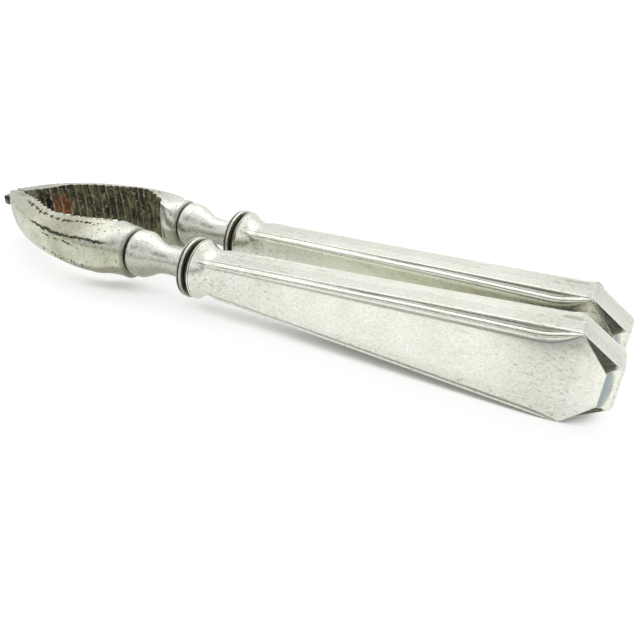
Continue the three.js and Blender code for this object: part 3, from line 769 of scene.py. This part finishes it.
def old_silver():
    """Sterling silver, stamped, long polished and used: pale green-grey, with painted light that
    makes the inner halves a little paler, a fine grain and hairlines along the handle, soft dents,
    small specks, a few brown and olive stains, tarnish and painted shade kept in each hollow and on
    the band near the corners, and a painted blue-grey reflection and shade in the handles' end
    hollows and below the moulding near the corners."""
    finish, tree, place = empty_finish("old_polished_silver")
    recess, grime, painted_shade, painted_light = carried(tree, "recess", "grime", "painted_shade", "painted_light")
    cloud = patchy(place, 0.009, 5.0)
    drawn = stretched(place, (0.6, 1.0, 1.0))
    grain = patchy(drawn, 0.00042, 5.0, 0.8)
    metal = ramped(cloud, [(0.3, "#e9e9dc"), (0.5, "#f0f0e5"), (0.7, "#f6f6ed")])
    # painted light: the inner halves' metal a little paler
    darkest = maths("MULTIPLY_ADD", painted_light, 0.14, 0.76)
    metal = tinted(metal, spread(grain, 0.3, 0.7, darkest, 1.12))
    metal = tinted(metal, spread(grime, 0.2, 1, 1.0, 0.9))
    # tarnish and painted shade by the recess share: in the hollows, and on the band near the corners
    uneven = maths("MULTIPLY_ADD", cloud, 0.8, 0.55)
    kept = maths("MULTIPLY", recess, uneven, clamp=True)
    tarnish = ramped(grain, [(0.35, "#45463b"), (0.65, "#7f8173")])
    tarnished_and_shaded = blend(kept, metal, tarnish)
    # painted reflection and shade: blue-grey in the handle ends' hollows and below the moulding near
    # the corners
    shade_stops = [(0.2, "#b0ab98"), (0.45, "#7f7c6f"), (0.7, "#69737a"), (1.0, "#8797a1")]
    shade_colour = ramped(painted_shade, shade_stops)
    tarnished_and_shaded = blend(product(painted_shade, 0.9), tarnished_and_shaded, shade_colour)
    fleck = maths("MULTIPLY_ADD", grime, 0.14, patchy(drawn, 0.0007, 4.0, 0.7))
    flecked = blend(spread(fleck, 0.67, 0.82, 0.0, 0.65), tarnished_and_shaded, "#8b8570")
    scratch = patchy(stretched(place, (0.07, 1.0, 1.0)), 0.0006, 2.0, 0.4)
    flecked = blend(spread(scratch, 0.69, 0.74, 0.0, 0.45), flecked, "#96917d")
    for middle, reach, hue, share in (
        ((75.5, 4.1, 3.2), (0.75, 1.0, 1.3), "#7d5a3c", 0.75),
        ((161.6, -6.4, 10.4), (2.6, 0.85, 1.0), "#8d8966", 0.5),
        ((159.6, 10.3, 10.3), (3.4, 0.6, 1.0), "#8d8966", 0.45),
    ):
        stain = product(ball(place, middle, reach), share)
        flecked = blend(stain, flecked, hue)
    speck = spread(patchy(place, 0.0008, 2.0), 0.79, 0.82)
    whole = blend(speck, flecked, "#3f3a31")
    hairline = patchy(stretched(place, (0.05, 1.0, 1.0)), 0.0004, 3.0)
    rough = maths("MULTIPLY_ADD", hairline, 0.26, 0.12)
    rougher = maths("MULTIPLY_ADD", kept, 0.3, rough)
    soft = relief(patchy(place, 0.0045, 3.0), 0.35, 0.0003)
    fine = relief(hairline, 0.3, 0.00003, soft)
    finest = relief(grain, 0.3, 0.00004, fine)
    return completed(finish, whole, rougher, finest, 1.0)


silver = old_silver()
points = on_arm(turned_rings([(x, r) for x, r, _ in collar], collar_sides)).reshape(-1, 3)
tarnish = np.repeat([recess for _, _, recess in collar], collar_sides)
faces = ring_faces(len(collar) + 1, collar_sides)
faces = [[i % len(points) for i in face] for face in faces]
for side in ("rear", "front"):
    values = {"recess": tarnish, "grime": tarnish + 0.6}
    mesh = mirrored(solid_mesh(f"{side}_collar", points, faces, values), side)
    node = f"{side}_handle_ferrule"
    show(f"{side}_collar", mesh, silver, f"{side}_arm", node, crease=60)

# Handle shells: two halves stamped from thin silver sheet and soldered along the narrow sides.
# A hollow moulding runs down each edge of the broad face and opens into the two cut corners.
handle_length = 99.5
corner_cut = 8.3
end_bevel = 2.4
end_swell = 0.8
neck = 7.6
mouth = 3.4
flare_end = 9.4
mouth_radius = 7.3
shell_wall = 0.6
seam_gap = 0.03
corner_at = handle_length - corner_cut
bevel_at = handle_length - end_bevel
cove_run_out = 9.0
last_ring = 0.06  # before the end
half_heights = (4.9, 10.6)  # at the neck and at the corner, as in the next three
half_bands = (3.3, 4.0)
half_panels = (4.7, 5.5)
moulding_depths = (1.3, 2.9)
moulding_depth_below = 1.25
moulding_step = 0.7
bevel_panel_height = 3.9
end_half_height = 5.0
end_narrowing = 0.4  # the share of its width that the end loses over its swell
end_lowering = 0.135  # the share of its height that it loses for each mm of swell
dent_depth = 0.05
roll_start, roll_end = 2.0, -0.85  # angles round the roll, from the wall to the panel
# the points of a quarter section that lie on each part of it
band_part, wall_part, roll_part = slice(5), slice(9, 18), slice(18, 25)
foot_part, panel_part = slice(25, 27), slice(26, None)


def handle_form(s):
    """The handle's section sizes at a place along it, by name."""
    level = min((s - neck) / (corner_at - neck), 1)
    growing = (half_heights, half_bands, half_panels, moulding_depths)
    height, band, panel, depth = (mixed(*ends, level) for ends in growing)
    height = mixed(height, end_half_height, share_of(s, corner_at, handle_length))
    still_open = 1 - share_of(s, corner_at - cove_run_out, corner_at) ** 2.5
    past = share_of(s, corner_at, bevel_at)
    fall = share_of(s, bevel_at, handle_length)
    panel_heights = [height - depth * still_open, height - moulding_depth_below * still_open]
    if s > bevel_at:
        panel_heights = [mixed(bevel_panel_height, end_half_height, fall)] * 2
    elif s > corner_at:
        panel_heights = [mixed(half_heights[1], bevel_panel_height, past)] * 2
    step = moulding_step + (panel - band - moulding_step) * max(still_open, past)
    sunk = (1 - fall) ** 1.7
    form = {"height": height, "band": band, "level": level, "past": past, "fall": fall}
    form |= {"panel": mixed(band, panel, sunk), "edge": band + step * sunk}
    form["mouth"] = mixed(half_heights[0], mouth_radius, share_of(s, flare_end, mouth) ** 1.7)
    form["moulded"] = ease(s, mouth, flare_end)
    return SimpleNamespace(**form, panel_heights=panel_heights)


def quarter_section(at, inset, panel_height, shading):
    """The section's points from a seam over the moulding to the middle of the broad face, how much
    tarnish and painted shade each holds, and how much painted reflection and shade: 5 on the band, 4
    round its edge, 9 down the wall, 8 on the roll and 9 on the panel. Last comes the height at which
    the panel starts."""
    sizes = (at.height, at.band, at.panel, at.edge, panel_height)
    height, band, panel, edge, panel_height = (size - inset for size in sizes)
    step, depth = max(1e-4, edge - band), max(1e-4, height - panel_height)
    band_radius = min(0.2, 0.3 * depth, 0.3 * step)
    roll = min(1.0 - 0.85 * ease(at.past, 0, 0.12), 0.45 * depth, 0.72 * step)
    seam = seam_gap / 2
    middle = (edge + 0.18 * roll - roll, panel_height + 0.75 * roll)
    wall_start, wall_end = (band, height - band_radius), circle(middle, roll, [roll_start])[0]
    wall_foot = (band + 0.08 * step, wall_end[1] + 0.1 * depth)
    points = [(mixed(seam, band - band_radius, t), height) for t in np.linspace(0, 1, 6)[:-1]]
    points += curve((band - band_radius, height), (band, height), wall_start, 4)
    points += curve(wall_start, wall_foot, wall_end, 9)
    points += circle(middle, roll, np.linspace(roll_start, roll_end, 9)[:-1])
    low = middle[1] - 0.95 * roll
    for t in np.linspace(0, 1, 9) ** 1.6:
        z = low * (1 - t)
        dip = ease(z / max(panel_height, 1e-6), 0.6, 1)
        points.append((mixed(panel, edge, dip), z))
    points = np.array(points)
    run = np.linspace(0, 1, 10)[:-1]
    open_corner = min(1, 6 * at.past)
    deep = max(0, 0.5 + 0.45 * at.level + 0.2 * min(1, 4 * at.past) - 1.1 * ease(at.fall, 0.4, 0.9))
    in_cove = np.exp(-(((run - 0.25) / 0.3) ** 2))
    recess = np.zeros(len(points))
    # painted shade: the band darker near the corner
    recess[band_part] = 0.09 + 0.1 * ease(at.level, 0.7, 1)
    # tarnish and painted shade in the cove, deeper towards the corner
    recess[wall_part] = deep * np.maximum(in_cove, open_corner * (1.05 - 0.25 * run))
    # tarnish and painted shade over the roll in the open corner
    recess[roll_part] = deep * open_corner * 0.65
    # painted shade: a dark line where the roll meets the panel, on the outer halves only
    recess[foot_part] = (1 - open_corner) * (0.35 + 0.45 * at.level) * shading
    # painted reflection and shade: the hollow of the end bevel blue-grey, strongest near the panel,
    # fading along the bevel
    high = np.clip(points[:, 1] / panel_height, 0, 1)
    fade = 0.25 + 0.45 * np.sqrt(1 - high**2)
    hollow = ease(at.fall, 0.02, 0.1) * np.array([1 - ease(at.fall, f, f + 0.2) for f in fade])
    hollow = hollow * (1 - 0.6 * ease(at.fall, 0.1, 0.65) * (0.4 + 0.6 * high))
    painted_shade = np.zeros(len(points))
    painted_shade[panel_part] = hollow[panel_part]
    return points, recess, painted_shade, low


def half_section(s, inset, shading):
    """Half a section, from the seam on top over the broad face to the seam below: its points, and how
    much tarnish and painted shade, grime, and painted reflection and shade each of them holds."""
    at = handle_form(s)
    upper, lower = (quarter_section(at, inset, h, shading) for h in at.panel_heights)
    points, recess, painted_shade, low = upper
    # painted shade below the roll on the outer halves, broad near the corner
    near_corner = ease(s, corner_at - 26, corner_at - 2) * (1 - at.past)
    shade_reach = 0.35 + 3.6 * near_corner**2
    shade = (0.25 + 0.5 * near_corner) * np.exp(-(low - points[:, 1]) / shade_reach)
    shade = shade * (1 - at.past) * at.moulded * shading
    painted_shade[panel_part] = np.maximum(painted_shade, shade)[panel_part]
    points = np.vstack([points, lower[0][-2::-1] * [1, -1]])
    recess = np.append(recess, lower[1][-2::-1])
    painted_shade = np.append(painted_shade, lower[2][-2::-1])
    share = points[:, 1] / at.panel_heights[0]
    edges = np.array([0.8 * ease(-v, 0.6, 1) + 0.4 * ease(v, 0.75, 1) for v in share])
    grime = np.maximum(edges, max(1 - ease(s, 12, 48), near_corner))
    points = points * mixed((at.mouth - inset) / np.hypot(*points.T), 1, at.moulded)[:, None]
    points[:, 0] = np.maximum(points[:, 0], seam_gap / 2)
    ring = np.column_stack([np.full(len(points), s), points])
    return ring, {"recess": recess * at.moulded, "grime": grime, "painted_shade": painted_shade}


def half_shell(name, seed, shading):
    """The outer half of the rear handle as a closed sheet: outside, end, inside and seam edges."""
    stops = [mouth, flare_end, corner_at - cove_run_out, corner_at, bevel_at]
    amounts = [20, 44, 26, 18, 12]
    places = [mouth]
    for start, stop, amount in zip(stops, [*stops[1:], handle_length - last_ring], amounts):
        places += list(np.linspace(start, stop, amount)[1:])
    turns = [(math.radians(turn), 1) for turn in (12, 24, 36, 48, 60, 72, 82, 90)]
    turns += [(turns[-1][0], keep) for keep in (0.6, 0.25, 0)]
    grids, layers = [], {"recess": [], "grime": [], "painted_shade": []}
    for inset, swell in ((0, end_swell), (shell_wall, 0)):
        stop = handle_length - inset
        made = [half_section(min(s, stop), inset, shading) for s in places]
        rings = [ring for ring, _ in made]
        edge = half_section(handle_length, inset, shading)[0]
        for turn, keep in turns:
            rise = swell * math.sin(turn)
            width = 1 - end_narrowing * (1 - math.cos(turn)) * swell / end_swell
            height = 1 - end_lowering * rise
            ring = edge * [0, width * keep, height * keep] + [stop + rise, 0, 0]
            ring[:, 1] = np.maximum(ring[:, 1], seam_gap / 2)
            rings.append(ring)
        grids.append(np.array(rings))
        for key, value in (("recess", 0), ("grime", 1), ("painted_shade", 0)):
            layers[key] += [kept[key] for _, kept in made]
            layers[key] += [np.full(len(edge), value)] * len(turns)
    amount, count, _ = grids[0].shape
    outside = grids[0].copy()
    for ring in outside[amounts[0] : -1 - len(turns)]:
        for point in ring:
            sway = noise.noise(Vector(point * [0.12, 0.3, 0.3]) + Vector((seed, 0, 0)))
            dent = dent_depth * (sway + 0.5) * min(1, point[1] / 3)
            point[1] = max(seam_gap / 2, point[1] - dent)
    points = on_arm(np.vstack([outside.reshape(-1, 3), grids[1].reshape(-1, 3)]))
    base = amount * count
    faces = ring_faces(amount, count, closed=False)
    faces += [tuple(base + i for i in reversed(face)) for face in list(faces)]
    for ring in range(amount - 1):
        for i in (0, count - 1):
            a, b = ring * count + i, (ring + 1) * count + i
            faces.append((a, b, base + b, base + a))
    faces += [(i, i + 1, base + i + 1, base + i) for i in range(count - 1)]
    values = {key: np.concatenate(rows) for key, rows in layers.items()}
    # painted light: the inner halves paler
    values["painted_light"] = np.full(len(points), 1 - shading)
    return solid_mesh(name, points, faces, values)


def turned_inwards(mesh):
    """The outer half of the rear handle, mirrored about the handle's middle into its inner half."""
    about = Vector((*in_frame([*arm_front, 0])[:2], nose_place.z))
    spin = Matrix.Rotation(-arm_lean, 4, "Z")
    flip = spin @ Matrix.Diagonal((1, -1, 1, 1)) @ spin.inverted()
    mesh.transform(Matrix.Translation(about) @ flip @ Matrix.Translation(-about))
    mesh.flip_normals()
    return mesh


for side, seed in (("rear", 5), ("front", 12)):
    outer = half_shell(f"{side}_outer_shell", seed + 1, 1)
    inner = turned_inwards(half_shell(f"{side}_inner_shell", seed - 1, 0))
    for half, mesh in (("outer", outer), ("inner", inner)):
        name, node = f"{side}_{half}_half_shell", f"{side}_handle_{half}_shell"
        show(name, mirrored(mesh, side), silver, f"{side}_arm", node, crease=30)

# Pitch: brown pitch run hot into each handle, which holds the tang. It is out of sight, so each
# CAD solid keeps its own mesh.


def cold_pitch():
    """Set pitch, matt and dark brown, a little cloudy and uneven."""
    finish, tree, place = empty_finish("cold_pitch")
    cloud = patchy(place, 0.003, roughness=0.5)
    hue = ramped(cloud, [(0.35, "#1a110b"), (0.65, "#34241a")])
    return completed(finish, hue, 0.6, relief(cloud, 0.4, 0.0002), 0.0)


pitch = cold_pitch()
for side in ("front", "rear"):
    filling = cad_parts[f"{side}_handle_pitch"]
    filling.data.materials.clear()
    filling.data.materials.append(pitch)

# Table, light and camera: a white table that glows, its glow for the camera darkened near the object
# into a painted contact shadow, under an even white sky and one soft lamp above and behind on the
# left. The table's glow for other rays lights the metal from below. Only what the metal mirrors has
# two dim patches of a room and a dim horizon. The camera is low over the front handle, as fitted to
# the photo.
table_reach = 4  # metres
corners = [(x * table_reach, y * table_reach, 0) for x, y in ((-1, -1), (1, -1), (1, 1), (-1, 1))]
floor_mesh = bpy.data.meshes.new("white_table")
floor_mesh.from_pydata(corners, [], [(0, 1, 2, 3)])
floor = placed("white_table", floor_mesh)
table = bpy.data.materials.new("white_paper")
table.use_nodes = True
tree = table.node_tree
# painted contact shadow: the table's glow for the camera falls near the object
contact = add(tree, "ShaderNodeAmbientOcclusion", {"Distance": 0.014}).outputs["AO"]
paper_glow_with_painted_shadow = spread(contact, 0.24, 0.46, 0.0, 0.64)
to_camera = add(tree, "ShaderNodeLightPath").outputs["Is Camera Ray"]
glow = add(tree, "ShaderNodeMix", {0: to_camera, 2: 0.6, 3: paper_glow_with_painted_shadow}, data_type="FLOAT").outputs[0]
paper = {"Base Color": (0.5, 0.5, 0.5, 1), "Roughness": 0.9, "Specular IOR Level": 0}
paper |= {"Emission Color": linear("#fcfffd"), "Emission Strength": glow}
join(tree, tree.nodes["Principled BSDF"], paper)
floor.data.materials.append(table)

world = bpy.data.worlds.new("white_sky")
bpy.context.scene.world = world
world.use_nodes = True
sky = world.node_tree
sky.nodes.clear()
rays = add(sky, "ShaderNodeLightPath").outputs
mirrored_ray = rays["Is Glossy Ray"]
seen = maths("MAXIMUM", rays["Is Camera Ray"], mirrored_ray)
seen = maths("MAXIMUM", seen, rays["Is Transmission Ray"])
towards = add(sky, "ShaderNodeTexCoord").outputs["Generated"]
room = (1, 1, 1, 1)
for direction, scale, colour in (
    ((-0.2, -0.62, 0.73), (0.4, 1, 1), "#60615a"),
    ((0.92, 0.13, 0.37), (1, 1, 1), "#5a5246"),
):
    away = length_of(stretched(offset_from(towards, direction), scale))
    dim = product(spread(away, 0.34, 0.1), mirrored_ray)
    room = blend(dim, room, colour)
heading = add(sky, "ShaderNodeSeparateXYZ", {0: towards}).outputs
from_horizon = maths("ABSOLUTE", maths("SUBTRACT", heading["Z"], 0.1))
near_side = spread(heading["Y"], 0.15, -0.15)
horizon = product(spread(from_horizon, 0.17, 0.06), near_side)
room = blend(product(horizon, mirrored_ray), room, "#7f7f76")
lighting, backdrop = (
    add(sky, "ShaderNodeBackground", {"Color": colour, "Strength": strength}).outputs[0]
    for colour, strength in ((linear("#f8faf8"), 0.9), (room, 1.0))
)
surface = add(sky, "ShaderNodeMixShader", {0: seen, 1: lighting, 2: backdrop}).outputs[0]
add(sky, "ShaderNodeOutputWorld", {"Surface": surface})

lamp_data = bpy.data.lights.new("soft_lamp", "AREA")
lamp_data.shape = "RECTANGLE"
lamp_data.size = 0.8
lamp_data.size_y = 0.5
lamp_data.energy = 0.9
lamp = placed("soft_lamp", lamp_data)
lamp.location = (-0.12, 0.28, 0.55)
lamp.rotation_euler = (-lamp.location).to_track_quat("-Z", "Y").to_euler()

camera_place = nose_place + Vector((0.16443, -0.13077, 0.07602))
focal_length, picture_width, sensor_width = 666.97, 640, 36  # pixels, pixels and mm
turned = Matrix.Translation(camera_place)
for degrees, axis in ((24.99, "Z"), (90 - 31.24, "X"), (2.95, "Z")):
    turned = turned @ Matrix.Rotation(math.radians(degrees), 4, axis)
camera_data = bpy.data.cameras.new("camera")
camera_data.sensor_width = sensor_width
camera_data.lens = focal_length * sensor_width / picture_width
camera_data.clip_start = 0.005
camera = placed("camera", camera_data)
camera.matrix_world = turned
bpy.context.scene.camera = camera
bpy.context.scene.view_settings.view_transform = "Standard"
